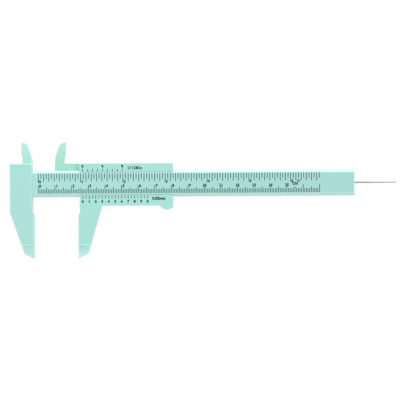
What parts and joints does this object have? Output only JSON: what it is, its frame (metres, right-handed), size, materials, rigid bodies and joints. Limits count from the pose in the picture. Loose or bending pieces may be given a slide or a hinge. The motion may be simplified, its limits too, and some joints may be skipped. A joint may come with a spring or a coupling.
{
  "type": "vernier caliper",
  "caption": "Moulded plastic vernier caliper with outside and inside jaws, a sliding vernier, metric and inch scales and a steel depth rod.",
  "frame": {"origin": "middle of the caliper's length and width as it lies, on the surface under its back", "axes": "+X along the beam away from the fixed jaw, +Y towards the inside jaws, +Z out of the scale face"},
  "size_m": [0.2346, 0.0706, 0.0065],
  "materials": {
    "beam_plastic": "satin moulded, pale mint green",
    "slider_plastic": "satin moulded, pale mint green",
    "plate_plastic": "fine matt moulded, pale mint green",
    "rod_steel": "bright drawn wire",
    "scale_ink": "dark print in the engraved lines and numerals"
  },
  "bodies": {
    "frame": {"beam": "beam_plastic"},
    "slider": {"slider_body": "slider_plastic", "slider_back_plate": "plate_plastic", "depth_rod": "rod_steel"}
  },
  "joints": [
    {"name": "slider_slide", "type": "slide", "parent": "frame", "child": "slider", "axis": [1, 0, 0], "range_m": [-0.0265, 0.1234]}
  ]
}
